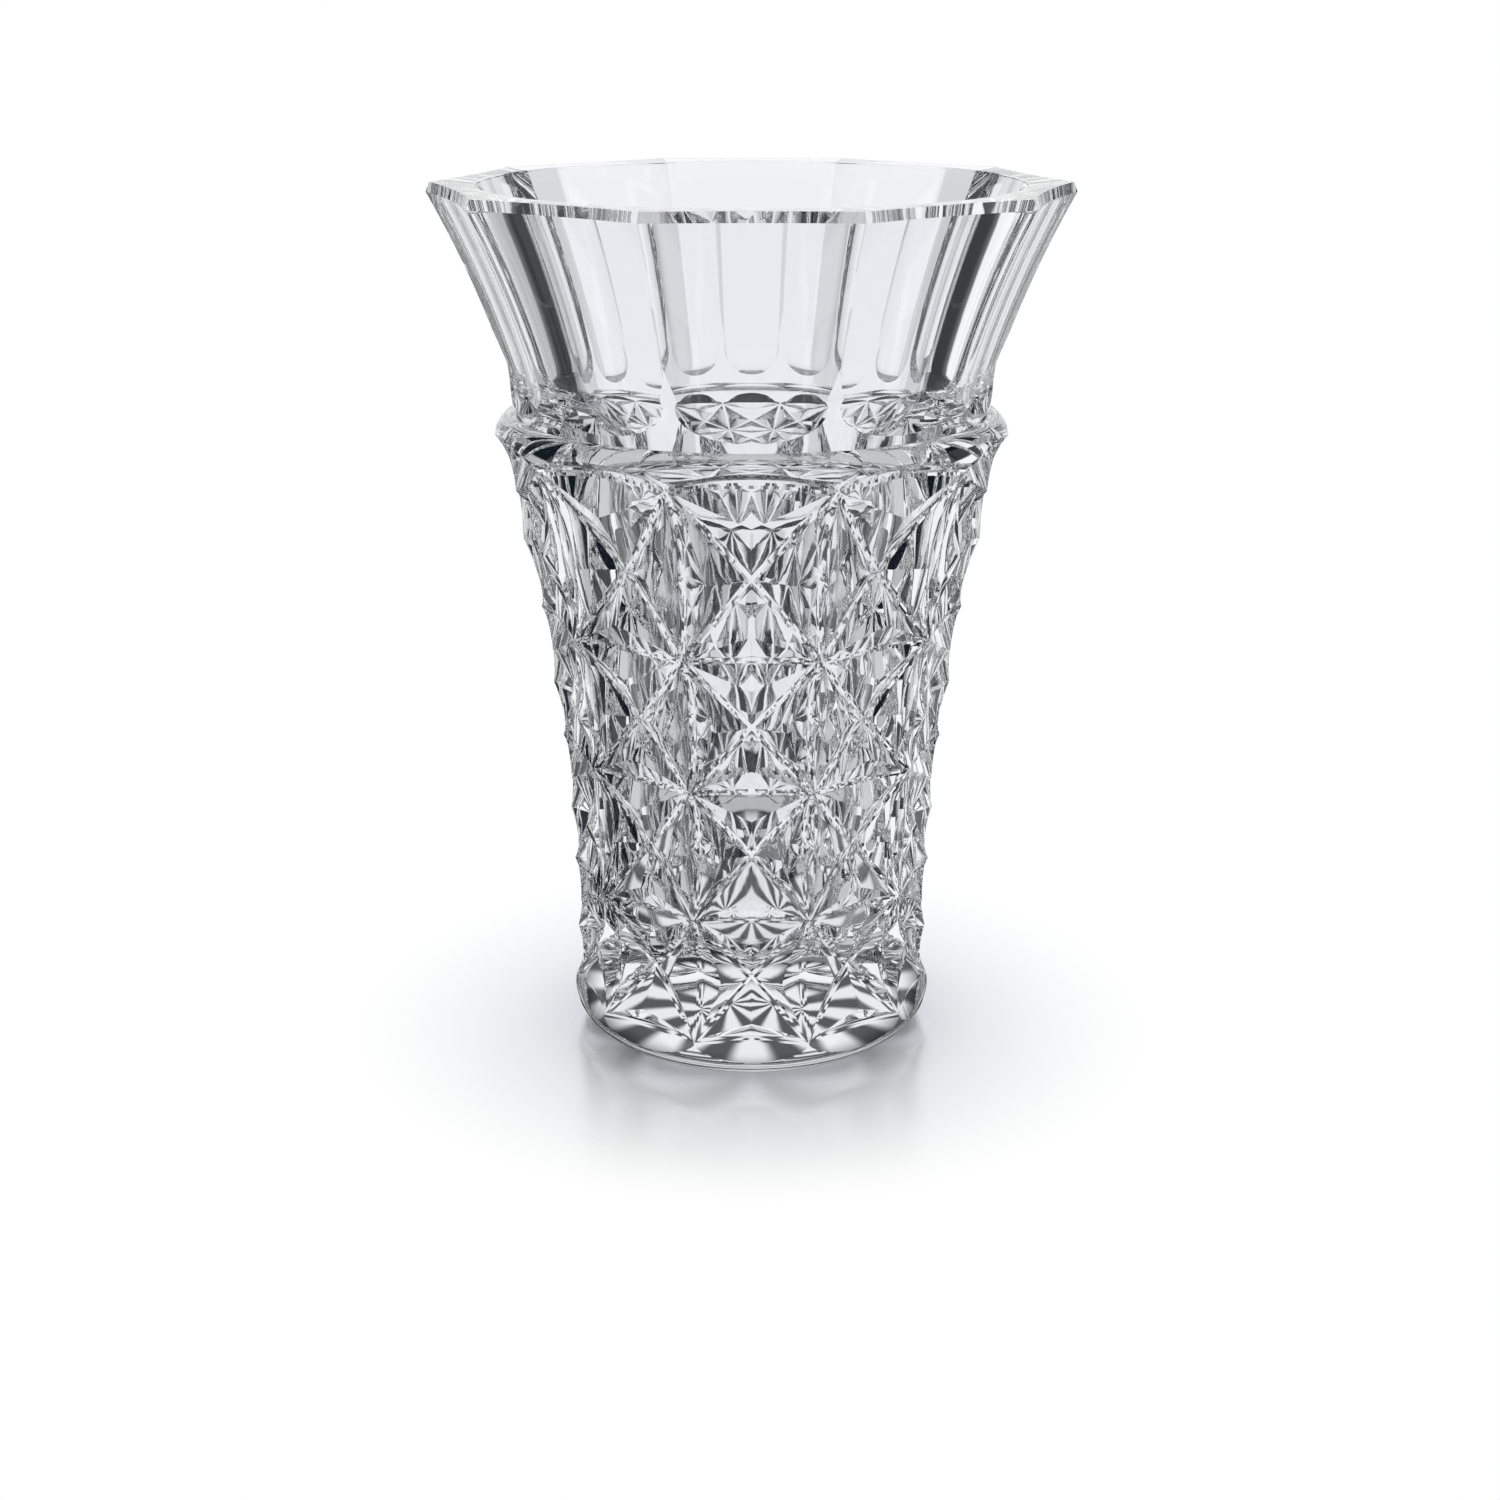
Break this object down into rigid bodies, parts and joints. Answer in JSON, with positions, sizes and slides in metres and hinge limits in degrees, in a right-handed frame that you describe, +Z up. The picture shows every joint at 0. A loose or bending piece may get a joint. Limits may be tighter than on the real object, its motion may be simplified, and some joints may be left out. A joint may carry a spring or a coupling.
{
  "type": "vase",
  "caption": "Flared cut crystal vase with a fluted mouth, a ring collar, a body of wheel-cut stars and a heavy flat foot.",
  "frame": {"origin": "middle of the flat resting face under the foot", "axes": "+Z up along the vase's axis to the mouth; a cut panel and a flute face -Y, and corners of the rim point along +X and -X"},
  "size_m": [0.2024, 0.1924, 0.285],
  "materials": {
    "lead_crystal": "clear lead crystal, wheel-cut and polished"
  },
  "bodies": {
    "root": {"crystal_vase": "lead_crystal"}
  },
  "joints": []
}
